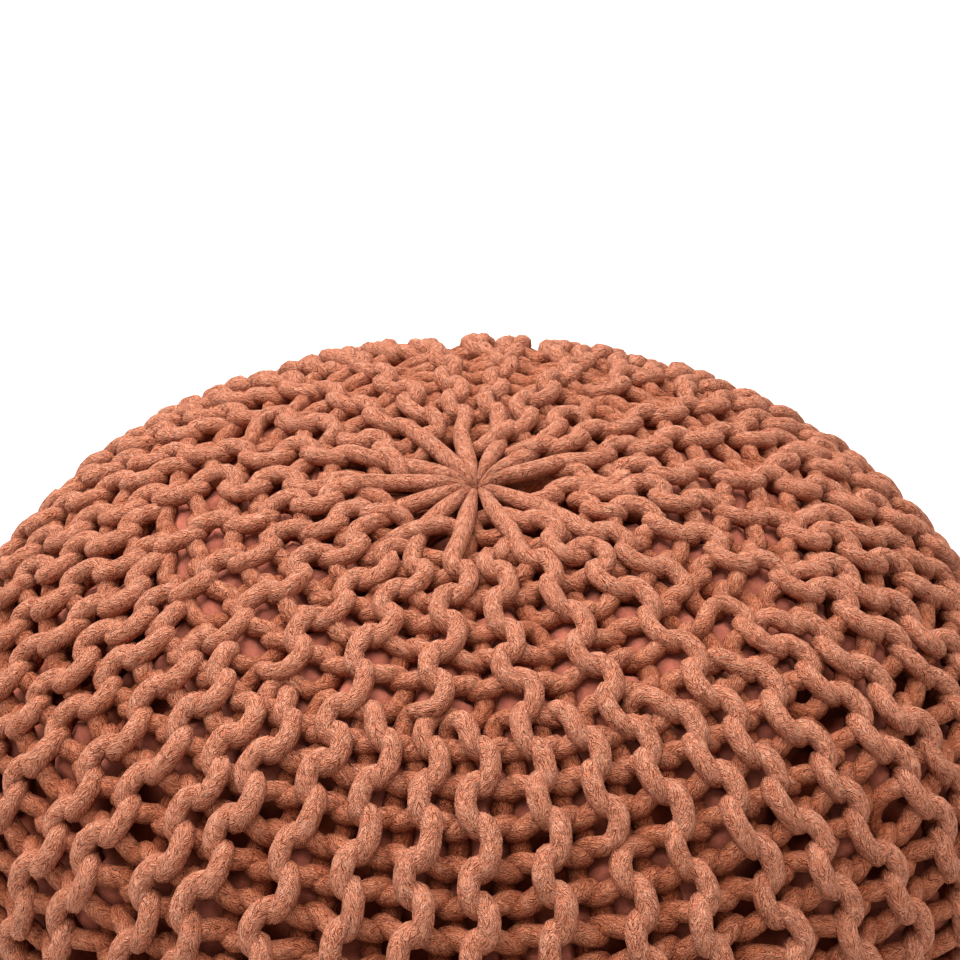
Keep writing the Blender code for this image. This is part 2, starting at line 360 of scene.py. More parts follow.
def neighbour_line(ridge, side):
    """The azimuth of the ridge that lies next on one side, at each count: the nearest one that is there."""
    result = np.zeros(SAMPLES)
    weight_left = np.ones(SAMPLES)
    from_top = COUNTS <= ROW_STITCHES / 2
    for step in range(1, NEIGHBOURS + 1):
        turns, other = divmod(ridge + side * step, RIDGES)
        line = RIDGE_AT[other] + 2 * math.pi * turns
        start = np.where(from_top, STARTS["top"][other], STARTS["base"][other])
        there = smooth_step((FROM_END - start + HANDOVER_START) / HANDOVER_SPAN) * weight_left
        result += line * there
        weight_left = weight_left - there
    return result + line * weight_left


# ---------------------------------------------------------------- rows
def crest_lift(arc):
    """How far the cords stand proud of the outline: not at all where the pouf rests."""
    return CREST_LIFT * (1 - smooth_step((arc - LIFT_END + LIFT_FADE) / LIFT_FADE))


def cord_radius(arc):
    return top_to_side(arc, CORD_RADIUS_TOP, CORD_RADIUS, CORD_CHANGE)


def squeeze(arc):
    """How much of its full width the cord keeps: it is squeezed where it is gathered."""
    near = np.minimum(arc, ARC_END - arc)
    return GATHER_SQUEEZE + (1 - GATHER_SQUEEZE) * smooth_step((near - SQUEEZE_START) / SQUEEZE_SPAN)


def garter_row(ridge, heads):
    """One row at every count, as azimuth, arc and depth, with its heads or its feet on the ridge."""
    ridge_line = RIDGE_AT[ridge]
    back_line = 0.5 * (ridge_line + neighbour_line(ridge, -1 if heads else 1))
    low, high = (back_line, ridge_line) if heads else (ridge_line, back_line)
    turn = 2 * math.pi * COUNTS
    share = (1 - LOBE_ROUND) * (1 - np.cos(turn)) / 2 + LOBE_ROUND * (1 - np.cos(3 * turn)) / 2
    on_front = share if heads else 1 - share
    back_noise = BACK_NOISE[(ridge - 1) % RIDGES if heads else ridge]
    slip, wide, far, rise = (
        front * on_front + back * (1 - on_front) for front, back in zip(FRONT_NOISE[ridge], back_noise)
    )
    reach = LOBE_REACH * far * (1 - END_NARROWING * np.cos(ridge_line) ** 2)
    azimuth = low * (1 - share) + high * share + (2 * share - 1) * reach / RADII
    bulge = top_to_side(ARCS, LOBE_BULGE_TOP, LOBE_BULGE_SIDE, BULGE_CHANGE) * wide
    arc = ARCS + slip + bulge * np.sin(2 * turn)
    swing = np.sign(np.cos(turn)) * np.abs(np.cos(turn)) ** DEPTH_POWER
    front = -swing if heads else swing
    sink = top_to_side(ARCS, ROW_DEPTH_TOP, ROW_DEPTH_SIDE, DEPTH_CHANGE) * (1 - front)
    if heads:
        rise = rise + HEAD_RISE
    depth = CORD_RADIUS - crest_lift(ARCS) + sink - rise * on_front
    return np.stack([azimuth, arc, depth], -1)


def plain_turn(inward, outward):
    """The round turn of a short row's cord into the next row."""
    gap = np.linalg.norm(outward[0] - inward[-1])
    away_in = inward[-1] - inward[-2]
    away_out = outward[1] - outward[0]
    slope_in = away_in / np.linalg.norm(away_in) * gap * TURN_BULGE
    slope_out = away_out / np.linalg.norm(away_out) * gap * TURN_BULGE
    return hermite(inward[-1], outward[0], slope_in, slope_out, TURN_POINTS)


def gathered_turn(inward, outward, ridge, end):
    """The cord's way to the pole and back, drawn together with the others."""
    at = GATHERED[ridge] if end == "top" else float(RIDGE_AT[ridge][-1])
    aside = rng.normal(0, GATHER_SCATTER)
    points = [inward[-1]]
    for azimuth, table in ((at + aside, GATHER_LOWER), (at, GATHER_UPPER)):
        for arc, depth in reversed(table):
            points.append(place(azimuth, arc if end == "top" else ARC_END - arc, depth))
    points.append(outward[0])
    return spline(points, NODE_STEP)[1:-1]


def end_turn(inward, outward, ridge, end):
    """The cord between a row that comes to an end and the row that leaves it."""
    if STARTS[end][ridge] == 0:
        return gathered_turn(inward, outward, ridge, end)
    return plain_turn(inward, outward)


def ridge_loop(ridge):
    """The closed line of the cord that makes one ridge: a row up, its turn, a row down and its turn."""
    rounding = 1e-6
    first = STARTS["top"][ridge] - rounding
    last = ROW_STITCHES - STARTS["base"][ridge] + rounding
    kept = (COUNTS >= first) & (COUNTS <= last)
    up = place(*garter_row(ridge, heads=True)[kept][::-1].T)
    down = place(*garter_row(ridge, heads=False)[kept].T)
    top = end_turn(up, down, ridge, "top")
    base = end_turn(down, up, ridge, "base")
    return np.vstack([up, top, down, base])


def even_loop(points, step):
    """A closed line resampled to even steps."""
    closed = np.vstack([points, points[:1]])
    run = closed_run(points)
    count = int(round(run[-1] / step))
    at = np.arange(count) * run[-1] / count
    return np.stack([np.interp(at, run, closed[:, k]) for k in range(3)], -1)


# ---------------------------------------------------------------- contact
class CordNodes:
    """The nodes of all the cords in one list, with each one's neighbours on its own cord."""

    def __init__(self, loops):
        self.points = np.vstack(loops)
        self.counts = [len(loop) for loop in loops]
        self.starts = np.concatenate([[0], np.cumsum(self.counts)[:-1]])
        self.owner = np.repeat(np.arange(len(loops)), self.counts)
        self.index = np.arange(len(self.points)) - self.starts[self.owner]
        self.count_of = np.array(self.counts)[self.owner]
        self.after = self.starts[self.owner] + (self.index + 1) % self.count_of
        self.before = self.starts[self.owner] + (self.index - 1) % self.count_of

    def loops(self):
        return [self.points[start : start + count] for start, count in zip(self.starts, self.counts)]

    def apart_on_cord(self, a, b):
        """Whether nodes a and b are on two cords, or some way apart on one."""
        gap = np.abs(self.index[a] - self.index[b])
        gap = np.minimum(gap, self.count_of[a] - gap)
        return (self.owner[a] != self.owner[b]) | (gap > NEAR_NODES)

    def close_pairs(self, reach):
        """Pairs of nodes nearer than reach, found by sorting them into cubes of that size."""
        points = self.points
        cell = np.floor((points - points.min(0)) / reach).astype(np.int64) + 1
        size = cell.max(0) + 2
        key = (cell[:, 0] * size[1] + cell[:, 1]) * size[2] + cell[:, 2]
        order = np.argsort(key, kind="stable")
        sorted_key = key[order]
        found_a, found_b = [], []
        steps = ((dx, dy, dz) for dx in (-1, 0, 1) for dy in (-1, 0, 1) for dz in (-1, 0, 1))
        shifts = [(dx * size[1] + dy) * size[2] + dz for dx, dy, dz in steps]
        for shift in (shift for shift in shifts if shift >= 0):
            low = np.searchsorted(sorted_key, key + shift, "left")
            many = np.searchsorted(sorted_key, key + shift, "right") - low
            a = np.repeat(np.arange(len(points)), many)
            start = np.repeat(low - np.concatenate([[0], np.cumsum(many)[:-1]]), many)
            b = order[start + np.arange(len(a))]
            near = ((points[a] - points[b]) ** 2).sum(1) < reach * reach
            if shift == 0:
                near &= a < b
            a, b = a[near], b[near]
            kept = self.apart_on_cord(a, b)
            found_a.append(a[kept])
            found_b.append(b[kept])
        return np.concatenate(found_a), np.concatenate(found_b)


def relax(loops):
    """Lets the cords push one another apart, keep their length and straighten a little."""
    nodes = CordNodes(loops)
    points, before, after = nodes.points, nodes.before, nodes.after
    two_before, two_after = before[before], after[after]
    home = points.copy()
    rest = TENSION * np.linalg.norm(points[after] - points, axis=1)
    azimuth, arc, depth = surface_place(points)
    normal = normal_at(azimuth, arc)
    highest = CORD_RADIUS - crest_lift(arc)
    contact = 2 * CORD_RADIUS_TOP * CONTACT_SHARE
    slim = squeeze(arc) * cord_radius(arc) / CORD_RADIUS_TOP
    for number in range(ROUNDS):
        if number % PAIR_ROUNDS == 0:
            a, b = nodes.close_pairs(contact * PAIR_REACH)
            wanted = contact * 0.5 * (slim[a] + slim[b])
        move = ANCHOR * (home - points)
        middle = 0.5 * (points[two_before] + points[two_after])
        move += STIFFNESS * (middle - points)
        step = points[after] - points
        length = np.linalg.norm(step, axis=1)
        pull = (STRETCH_SHARE * (length - rest) / length)[:, None] * step
        move += pull
        move -= pull[before]
        apart = points[b] - points[a]
        distance = np.linalg.norm(apart, axis=1) + 1e-9
        push = (PUSH_SHARE * np.maximum(wanted - distance, 0) / distance)[:, None] * apart
        for k in range(3):
            move[:, k] -= np.bincount(a, push[:, k], len(points))
            move[:, k] += np.bincount(b, push[:, k], len(points))
        points += move
        sunk = depth - ((points - home) * normal).sum(1)
        points += LIFT_SHARE * np.minimum(sunk - highest, 0)[:, None] * normal
        points[:, 2] = np.maximum(points[:, 2], CORD_RADIUS)
    return nodes.loops()


# ---------------------------------------------------------------- meshes
def made_object(mesh, layer_name, corners, painted_shades, material):
    """Links a mesh with its map, the painted shade that its depth gives each point, and its material."""
    layer = mesh.uv_layers.new(name=layer_name)
    layer.data.foreach_set("uv", corners.astype(np.float32).ravel())
    # The painted shade goes into an attribute, and the material darkens its colour by it.
    shade = mesh.attributes.new("painted_depth_shade", "FLOAT", "POINT")
    shade.data.foreach_set("value", painted_shades.astype(np.float32))
    mesh.polygons.foreach_set("use_smooth", np.ones(len(mesh.polygons), bool))
    mesh.materials.append(material)
    made = bpy.data.objects.new(mesh.name, mesh)
    bpy.context.scene.collection.objects.link(made)
    return made


# ---------------------------------------------------------------- cord mesh
CORD_SIDES = 9
BEND_SHARE = 0.40         # how far a ring may turn from the one before it, in radians
SHORTEST_RING = 0.0021
LONGEST_RING = 0.0062
LUMPINESS = 0.035         # random lumps, as a share of the radius
SWELL = 0.03              # slow swelling along the cord, as a share of the radius
SWELL_LENGTH = 0.019
# Painted shade on the cords: their colour is darkened the deeper they lie under the outline, from which
# depth on and over what length.
CORD_PAINTED_SHADE = 0.47         # how much darker the deepest cords are
CORD_PAINTED_SHADE_FROM = -0.0003
CORD_PAINTED_SHADE_SPAN = 0.013
ANY_WAY = (0.31, 0.22, 0.92)


def fine_loop(points):
    """A closed line smoothed a little and resampled, with its points close together at the bends."""
    for _ in range(2):
        points = 0.25 * np.roll(points, 1, 0) + 0.5 * points + 0.25 * np.roll(points, -1, 0)
    ahead = np.roll(points, -1, 0)
    step = np.linalg.norm(ahead - points, axis=1)
    bend = np.linalg.norm(ahead - 2 * points + np.roll(points, 1, 0), axis=1) / step**2
    bend = np.maximum(bend, np.maximum(np.roll(bend, 1), np.roll(bend, -1)))
    ring = np.clip(BEND_SHARE / bend, SHORTEST_RING, LONGEST_RING)
    ring = (np.roll(ring, 1) + ring + np.roll(ring, -1)) / 3
    load = np.concatenate([[0], np.cumsum(step / (0.5 * (ring + np.roll(ring, -1))))])
    count = int(round(load[-1]))
    at = np.interp(np.arange(count) * load[-1] / count, load, np.arange(len(load)))
    i = at.astype(int) % len(points)
    f = (at - at.astype(int))[:, None]
    around = (points[(i + k) % len(points)] for k in (-1, 0, 1, 2))
    return through_middle(*around, f)


def ring_axes(line, run):
    """Two directions across a closed line at each point, which turn as little as they can along it."""
    tangent = np.roll(line, -1, 0) - np.roll(line, 1, 0)
    tangent /= np.linalg.norm(tangent, axis=1)[:, None]
    side = np.zeros_like(line)
    current = np.cross(tangent[0], ANY_WAY)
    current /= np.linalg.norm(current)
    side[0] = current
    for i in range(1, len(line)):
        current = current - tangent[i] * (current @ tangent[i])
        current = current / math.sqrt(current @ current)
        side[i] = current
    up = np.cross(tangent, side)
    end = current - tangent[0] * (current @ tangent[0])
    end /= np.linalg.norm(end)
    left_over = math.atan2(end @ up[0], end @ side[0])
    angle = np.arange(CORD_SIDES) * 2 * math.pi / CORD_SIDES
    roll = angle[None, :] - (left_over * run[:-1] / run[-1])[:, None]
    return np.cos(roll)[..., None] * side[:, None] + np.sin(roll)[..., None] * up[:, None]


def cord_rings(line, run, phase):
    """The rings of points round a cord's line, and each point's painted shade, darker the deeper the point
    lies.
    """
    azimuth, arc, depth = surface_place(line)
    radius = cord_radius(arc) * (1 + SWELL * np.sin(run[:-1] / SWELL_LENGTH + phase))
    lumps = 1 + rng.normal(0, LUMPINESS, (len(line), CORD_SIDES))
    offset = (radius[:, None] * lumps)[..., None] * ring_axes(line, run)
    round_way = np.stack([np.cos(azimuth), np.sin(azimuth), 0 * azimuth], -1)[:, None]
    pinch = (1 - squeeze(arc))[:, None]
    offset -= (pinch * (offset * round_way).sum(-1))[..., None] * round_way
    rings = line[:, None] + offset
    rings[..., 2] = np.maximum(rings[..., 2], 0)
    # Painted shade: each point is painted darker the deeper it lies.
    sunk = depth[:, None] - (offset * normal_at(azimuth, arc)[:, None]).sum(-1)
    return rings, 1 - CORD_PAINTED_SHADE * smooth_step((sunk - CORD_PAINTED_SHADE_FROM) / CORD_PAINTED_SHADE_SPAN)


def ring_faces(count):
    """The four corners of every face between a closed cord's rings."""
    ring = np.arange(count)[:, None] * CORD_SIDES
    next_ring = np.roll(ring, -1, 0)
    side = np.arange(CORD_SIDES)[None, :]
    next_side = np.roll(side, -1, 1)
    corners = (ring + side, ring + next_side, next_ring + next_side, next_ring + side)
    return np.stack(corners, -1).reshape(-1, 4)


def ring_map(run):
    """The map of every face's corners: the length along the cord, and the share of the way round it."""
    shape = (len(run) - 1, CORD_SIDES)
    here = np.broadcast_to(run[:-1, None], shape)
    further = np.broadcast_to(run[1:, None], shape)
    low = np.broadcast_to(np.arange(CORD_SIDES) / CORD_SIDES, shape)
    high = low + 1 / CORD_SIDES
    corners = ((here, low), (here, high), (further, high), (further, low))
    return np.stack([np.stack(corner, -1) for corner in corners], 2).reshape(-1, 2)


def cord_mesh(name, loops, material):
    """Round cord swept along closed lines, in one mesh."""
    points, faces, corners, painted_shades = [], [], [], []
    first = 0
    for loop in loops:
        line = fine_loop(loop)
        run = closed_run(line)
        rings, shade = cord_rings(line, run, phase=first)
        points.append(rings.reshape(-1, 3))
        painted_shades.append(shade.ravel())
        faces.append(first + ring_faces(len(line)))
        corners.append(ring_map(run))
        first += len(line) * CORD_SIDES
    faces = np.vstack(faces)
    mesh = bpy.data.meshes.new(name)
    mesh.vertices.add(first)
    mesh.vertices.foreach_set("co", np.vstack(points).astype(np.float32).ravel())
    mesh.loops.add(faces.size)
    mesh.loops.foreach_set("vertex_index", faces.astype(np.int32).ravel())
    mesh.polygons.add(len(faces))
    mesh.polygons.foreach_set("loop_start", np.arange(0, faces.size, 4, dtype=np.int32))
    mesh.polygons.foreach_set("loop_total", np.full(len(faces), 4, np.int32))
    mesh.update(calc_edges=True)
    mesh.validate()
    return made_object(mesh, "cord", np.vstack(corners), np.concatenate(painted_shades), material)


# ---------------------------------------------------------------- casing
CASING_STEP = 0.0045
CASING_POLE = 0.004       # arc length at which the rings of faces begin, round each pole
CASING_INSET_TOP = 0.0086
CASING_INSET_SIDE = 0.0160
CASING_INSET_POLE = 0.007  # how much deeper it lies under the gather
POLE_CHANGE = (0.05, 0.03)
CASING_FOLDS = 0.0060
FOLD_WAVES = 14
FOLD_TURNS = (8, 26)      # the fewest and the most waves round the pouf
FOLD_SLANT = (0.008, 0.020)  # the shortest and longest way down the side for one radian of a wave
FOLD_PHASE = 6.3          # a wave starts anywhere in about a full turn
FOLD_LIMITS = (-1.3, 2.0)
NARROW_CELLS = 4          # cells to each side that a cord may cover near the poles, where they narrow
LEAST_CELL_RADIUS = 0.02  # cells are never taken as narrower than they are at this radius
LEAST_SWELL_RADIUS = 0.03
CORD_CLEARANCE = 0.0004
CASING_PRESSURE = 400.0   # how strongly the filling swells the cloth between the cords
CASING_ROUNDS = 160
# Painted shade on the casing: its colour is darkened the deeper it lies, from which depth on and over what
# length.
CASING_PAINTED_SHADE = 0.66
CASING_PAINTED_SHADE_FROM = 0.012
CASING_PAINTED_SHADE_SPAN = 0.013


def folds(azimuths, arcs):
    """Soft uneven folds of the casing, as a sum of waves with a standard size of 1."""
    total = 0
    for _ in range(FOLD_WAVES):
        turns = rng.integers(*FOLD_TURNS) * rng.choice((-1, 1))
        down = arcs[None, :] / rng.uniform(*FOLD_SLANT)
        total = total + np.sin(turns * azimuths[:, None] + down + rng.uniform(0, FOLD_PHASE))
    return total * math.sqrt(2 / FOLD_WAVES)


def hollow_under(loops, azimuths, arcs, floor):
    """Sinks the grid of depths wherever a cord lies over it."""
    azimuth, arc, depth = surface_place(np.vstack(loops))
    turn, step = azimuths[1], arcs[1] - arcs[0]
    count, rings = floor.shape
    hold = CORD_RADIUS + CORD_CLEARANCE
    radius = np.maximum(ring_radius(arc), LEAST_CELL_RADIUS)
    nearest_i = np.round((azimuth % (2 * math.pi)) / turn).astype(int)
    nearest_j = np.round((arc - arcs[0]) / step).astype(int)
    for shift_i in range(-NARROW_CELLS, NARROW_CELLS + 1):
        for shift_j in (-1, 0, 1):
            i = (nearest_i + shift_i) % count
            j = nearest_j + shift_j
            inside = (j >= 0) & (j < rings)
            across = ((azimuths[i] - azimuth + math.pi) % (2 * math.pi) - math.pi) * radius
            along = np.where(inside, arcs[np.clip(j, 0, rings - 1)] - arc, 1)
            gap2 = across**2 + along**2
            inside &= gap2 < hold * hold
            under = depth[inside] + np.sqrt(hold * hold - gap2[inside])
            np.maximum.at(floor, (i[inside], j[inside]), under)


def swollen(floor, turn, step, radii):
    """The depths of a cloth that is pushed outwards and can't rise above the floor of depths."""
    round_weight = 1 / (turn * np.maximum(radii, LEAST_SWELL_RADIUS)[None, :]) ** 2
    down_weight = 1 / step**2
    total = 2 * round_weight + 2 * down_weight
    depth = floor.copy()
    for _ in range(CASING_ROUNDS):
        beside_it = np.roll(depth, 1, 0) + np.roll(depth, -1, 0)
        upper = np.concatenate([depth[:, :1], depth[:, :-1]], 1)
        lower = np.concatenate([depth[:, 1:], depth[:, -1:]], 1)
        pulled = round_weight * beside_it + down_weight * (upper + lower)
        depth = np.maximum((pulled - CASING_PRESSURE) / total, floor)
    return depth


def casing_depths(loops):
    """How deep the casing lies at each place: it swells between the cords that hold it in."""
    arcs = np.linspace(CASING_POLE, ARC_END - CASING_POLE, int(ARC_END / CASING_STEP))
    azimuths = np.linspace(0, 2 * math.pi, int(2 * math.pi * RADIUS / CASING_STEP), endpoint=False)
    inset = top_to_side(arcs, CASING_INSET_TOP, CASING_INSET_SIDE, CASING_CHANGE)
    inset += top_to_side(arcs, CASING_INSET_POLE, 0, POLE_CHANGE)
    fold_size = top_to_side(arcs, 0, CASING_FOLDS, CASING_CHANGE)
    floor = inset + fold_size * np.clip(folds(azimuths, arcs), *FOLD_LIMITS)
    hollow_under(loops, azimuths, arcs, floor)
    return azimuths, arcs, swollen(floor, azimuths[1], arcs[1] - arcs[0], ring_radius(arcs))


def casing_faces(count, rings):
    """Faces of the closed bag: strips of four-cornered ones, and three-cornered ones round each pole."""
    here = np.arange(count)[:, None] * rings
    ahead = np.roll(here, -1, 0)
    j = np.arange(rings - 1)[None, :]
    quads = np.stack([here + j, here + j + 1, ahead + j + 1, ahead + j], -1).reshape(-1, 4)
    top, bottom = count * rings, count * rings + 1
    last = rings - 1
    faces = [tuple(quad) for quad in quads.tolist()]
    pairs = list(zip(here.ravel().tolist(), ahead.ravel().tolist()))
    faces += [(top, left, right) for left, right in pairs]
    faces += [(bottom, right + last, left + last) for left, right in pairs]
    return faces


def casing_map(mesh, azimuths, arcs):
    """The map of the casing's corners: the way round and the way down, both as lengths."""
    count, rings = len(azimuths), len(arcs)
    corners = np.zeros(len(mesh.loops), np.int32)
    mesh.loops.foreach_get("vertex_index", corners)
    grid = np.minimum(corners, count * rings - 1)
    strip = 4 * (rings - 1)
    in_last_strip = np.zeros(len(mesh.loops), bool)
    in_last_strip[strip * (count - 1) : strip * count] = True
    turn = np.where(in_last_strip & (grid // rings == 0), 2 * math.pi, azimuths[grid // rings])
    return np.stack([turn * RADIUS, arcs[grid % rings]], -1)


def casing_mesh(name, loops, material):
    azimuths, arcs, depth = casing_depths(loops)
    azimuth_grid, arc_grid = np.meshgrid(azimuths, arcs, indexing="ij")
    points = place(azimuth_grid, arc_grid, depth)
    poles = [points[:, 0].mean(0), points[:, -1].mean(0)]
    points = np.vstack([points.reshape(-1, 3), poles])
    mesh = bpy.data.meshes.new(name)
    mesh.from_pydata(points.tolist(), [], casing_faces(*depth.shape))
    # Painted shade: the casing is painted darker where it lies deeper.
    deep = np.concatenate([depth.ravel(), [depth[:, 0].mean(), depth[:, -1].mean()]])
    painted_shades = 1 - CASING_PAINTED_SHADE * smooth_step((deep - CASING_PAINTED_SHADE_FROM) / CASING_PAINTED_SHADE_SPAN)
    return made_object(mesh, "cloth", casing_map(mesh, azimuths, arcs), painted_shades, material)


# ---------------------------------------------------------------- materials
ROUGHNESS = 0.95
SPECULAR = 0.15
SHEEN = 0.05
SHEEN_ROUGHNESS = 0.5
SHEEN_TINT = (1.0, 0.52, 0.36, 1)
# Painted shade grows redder as it grows darker, like light bounced between the cords.
PAINTED_SHADE_GREEN_POWER = 1.7         # deep places grow redder as they grow darker
PAINTED_SHADE_BLUE_POWER = 2.3
# The sockets of a mix node that mixes colours: its share, its two colours and its result.
MIX_SHARE, MIX_FIRST, MIX_SECOND, MIX_RESULT = 0, 6, 7, 2

BRAID_COLUMNS = 6
BRAID_ANGLE = math.radians(27)
CORD_ROUND = 2 * math.pi * CORD_RADIUS
STRAND_WIDTH = 0.00075
STREAK_SIZE = (0.00075, 0.0028)      # across the strands and along them
PLY_SIZE = (0.0021, 0.0060)
STRAY = 0.0036                       # how far the strands stray from their even rows
STRAY_SCALE = 330.0
FLUFF_SCALE = 900.0
PATCH_SCALE = 60.0
PATCH_SHARE = 0.55
PATCH_COLOUR = (0.93, 0.86, 0.82, 1)
# How much each layer counts in the relief, and in the shade that the colour is read from.
STRAND_IN_RELIEF = 0.34
STREAK_IN_RELIEF = 0.78
RELIEF_IN_SHADE = 0.50
FLUFF_IN_SHADE = 0.34
PLY_IN_SHADE = 0.28
# The strength and the height of each bump.
RELIEF_BUMP = (1.0, 0.0012)
PLY_BUMP = (1.0, 0.0014)
FLUFF_BUMP = (0.9, 0.0009)
CORD_COLOURS = (
    (0.43, (0.215, 0.048, 0.020)),
    (0.51, (0.490, 0.147, 0.072)),
    (0.60, (0.645, 0.250, 0.146)),
    (0.74, (0.700, 0.345, 0.230)),
)

WEAVE_STEP = 0.0011
WEAVE_DEPTH = 0.08
CROSS_RIB = 0.5           # strength of the ribs that run down, as a share of those that run round
WEAVE_BUMP = (0.3, 0.0004)
CLOTH_NOISE_SCALE = 500.0
CLOTH_COLOURS = ((0.30, (0.360, 0.092, 0.056)), (0.70, (0.600, 0.196, 0.128)))


class Look:
    """A material's nodes, with short ways to make the ones that are used."""

    def __init__(self, name):
        self.material = bpy.data.materials.new(name)
        self.material.use_nodes = True
        self.tree = self.material.node_tree
        self.shader = self.tree.nodes["Principled BSDF"]

    def fill(self, socket, value):
        """Links a socket to another node's output, or gives it a plain value."""
        if isinstance(value, bpy.types.NodeSocket):
            self.tree.links.new(value, socket)
        else:
            socket.default_value = value

    def node(self, kind, inputs=(), **settings):
        made = self.tree.nodes.new(kind)
        for key, value in settings.items():
            setattr(made, key, value)
        for key, value in dict(inputs).items():
            self.fill(made.inputs[key], value)
        return made

    def math(self, operation, a, b=0.0, c=0.0):
        return self.node("ShaderNodeMath", {0: a, 1: b, 2: c}, operation=operation).outputs[0]

    def blend(self, *parts):
        """The sum of values, each times its share."""
        total = 0.0
        for value, share in parts:
            total = self.math("MULTIPLY_ADD", value, share, total)
        return total

    def waves(self, value, length):
        return self.math("SINE", self.math("MULTIPLY", value, 2 * math.pi / length))

    def vector(self, x, y, z):
        return self.node("ShaderNodeCombineXYZ", {0: x, 1: y, 2: z}).outputs[0]

    def noise(self, at, scale, detail=2.0, rough=0.5):
        inputs = {"Vector": at, "Scale": scale, "Detail": detail, "Roughness": rough}
        return self.node("ShaderNodeTexNoise", inputs).outputs["Fac"]

    def long_noise(self, over, down, size, layer, detail, rough):
        """Noise drawn out along the strands, of a size across and along them."""
        at = self.vector(
            self.math("MULTIPLY", over, 1 / size[0]),
            self.math("MULTIPLY", down, 1 / size[1]),
            layer,
        )
        return self.noise(at, 1.0, detail, rough)

    def ramp(self, value, stops):
        made = self.node("ShaderNodeValToRGB", {"Fac": value})
        marks = made.color_ramp.elements
        while len(marks) < len(stops):
            marks.new(0.5)
        for mark, (at, colour) in zip(marks, stops):
            mark.position = at
            mark.color = (*colour, 1)
        return made.outputs["Color"]

    def tinted(self, share, colour, tint):
        """A colour multiplied by a tint, as far as the share goes."""
        made = self.node("ShaderNodeMix", data_type="RGBA", blend_type="MULTIPLY")
        for number, value in ((MIX_SHARE, share), (MIX_FIRST, colour), (MIX_SECOND, tint)):
            self.fill(made.inputs[number], value)
        return made.outputs[MIX_RESULT]

    def uv(self, layer):
        read = self.node("ShaderNodeUVMap", uv_map=layer).outputs[0]
        split = self.node("ShaderNodeSeparateXYZ", {0: read})
        return split.outputs[0], split.outputs[1]

    def object_place(self):
        return self.node("ShaderNodeTexCoord").outputs["Object"]

    def finish(self, colour, bumps):
        """Soft matt cloth, with painted shade that darkens and reddens it where it lies deep. Each bump has
        a height, a strength and a size.
        """
        # Painted shade: the colour is multiplied by the depth shade, and its green and blue by higher
        # powers of it.
        shade = self.node("ShaderNodeAttribute", attribute_name="painted_depth_shade").outputs["Fac"]
        green = self.math("POWER", shade, PAINTED_SHADE_GREEN_POWER)
        blue = self.math("POWER", shade, PAINTED_SHADE_BLUE_POWER)
        inputs = self.shader.inputs
        self.fill(inputs["Base Color"], self.tinted(1.0, colour, self.vector(shade, green, blue)))
        normal = None
        for height, strength, distance in bumps:
            parts = {"Height": height, "Strength": strength, "Distance": distance}
            if normal is not None:
                parts["Normal"] = normal
            normal = self.node("ShaderNodeBump", parts).outputs[0]
        self.fill(inputs["Normal"], normal)
        inputs["Roughness"].default_value = ROUGHNESS
        inputs["Specular IOR Level"].default_value = SPECULAR
        inputs["Sheen Weight"].default_value = SHEEN
        inputs["Sheen Roughness"].default_value = SHEEN_ROUGHNESS
        inputs["Sheen Tint"].default_value = SHEEN_TINT
        return self.material


def cord_look():
    """Soft braided cotton: columns of slanting strands that meet in a V, in uneven terracotta."""
    look = Look("cotton_cord")
    along, around = look.uv("cord")
    place_in = look.object_place()
    column = look.math("PINGPONG", look.math("MULTIPLY", around, BRAID_COLUMNS), 1.0)
    across = look.math("MULTIPLY", column, CORD_ROUND / BRAID_COLUMNS)
    stray = look.math("SUBTRACT", look.noise(place_in, STRAY_SCALE, 3.0), 0.5)
    slant, run = math.sin(BRAID_ANGLE), math.cos(BRAID_ANGLE)
    over = look.blend((along, slant), (across, -run), (stray, STRAY))
    down = look.blend((along, run), (across, slant))
    strand = look.math("MULTIPLY_ADD", look.waves(over, STRAND_WIDTH), 0.5, 0.5)
    streak = look.long_noise(over, down, STREAK_SIZE, 0.0, 3.0, 0.6)
    ply = look.long_noise(over, down, PLY_SIZE, 7.0, 1.0, 0.5)
    fluff = look.noise(place_in, FLUFF_SCALE, 3.0, 0.65)
    patch = look.noise(place_in, PATCH_SCALE, 2.0)
    relief = look.blend((strand, STRAND_IN_RELIEF), (streak, STREAK_IN_RELIEF))
    shade = look.blend((relief, RELIEF_IN_SHADE), (fluff, FLUFF_IN_SHADE), (ply, PLY_IN_SHADE))
    patch_share = look.math("MULTIPLY", patch, PATCH_SHARE)
    colour = look.tinted(patch_share, look.ramp(shade, CORD_COLOURS), PATCH_COLOUR)
    return look.finish(colour, ((relief, *RELIEF_BUMP), (ply, *PLY_BUMP), (fluff, *FLUFF_BUMP)))


def cloth_look():
    """Plain, finely woven cloth with a faint rib."""
    look = Look("casing_cloth")
    round_way, down = look.uv("cloth")
    ribs = look.blend((look.waves(down, WEAVE_STEP), 1.0), (look.waves(round_way, WEAVE_STEP), CROSS_RIB))
    weave = look.math("MULTIPLY_ADD", ribs, WEAVE_DEPTH, 0.5)
    speckle = look.noise(look.object_place(), CLOTH_NOISE_SCALE, 3.0)
    colour = look.ramp(look.blend((weave, 0.5), (speckle, 0.5)), CLOTH_COLOURS)
    return look.finish(colour, ((weave, *WEAVE_BUMP),))


def floor_look():
    look = Look("floor_paint")
    look.shader.inputs["Base Color"].default_value = FLOOR_COLOUR
    look.shader.inputs["Roughness"].default_value = FLOOR_ROUGHNESS
    return look.material


# ---------------------------------------------------------------- pieces
SECTORS = 6
BODY = "root" if "root" in frame["bodies"] else list(frame["bodies"])[0]


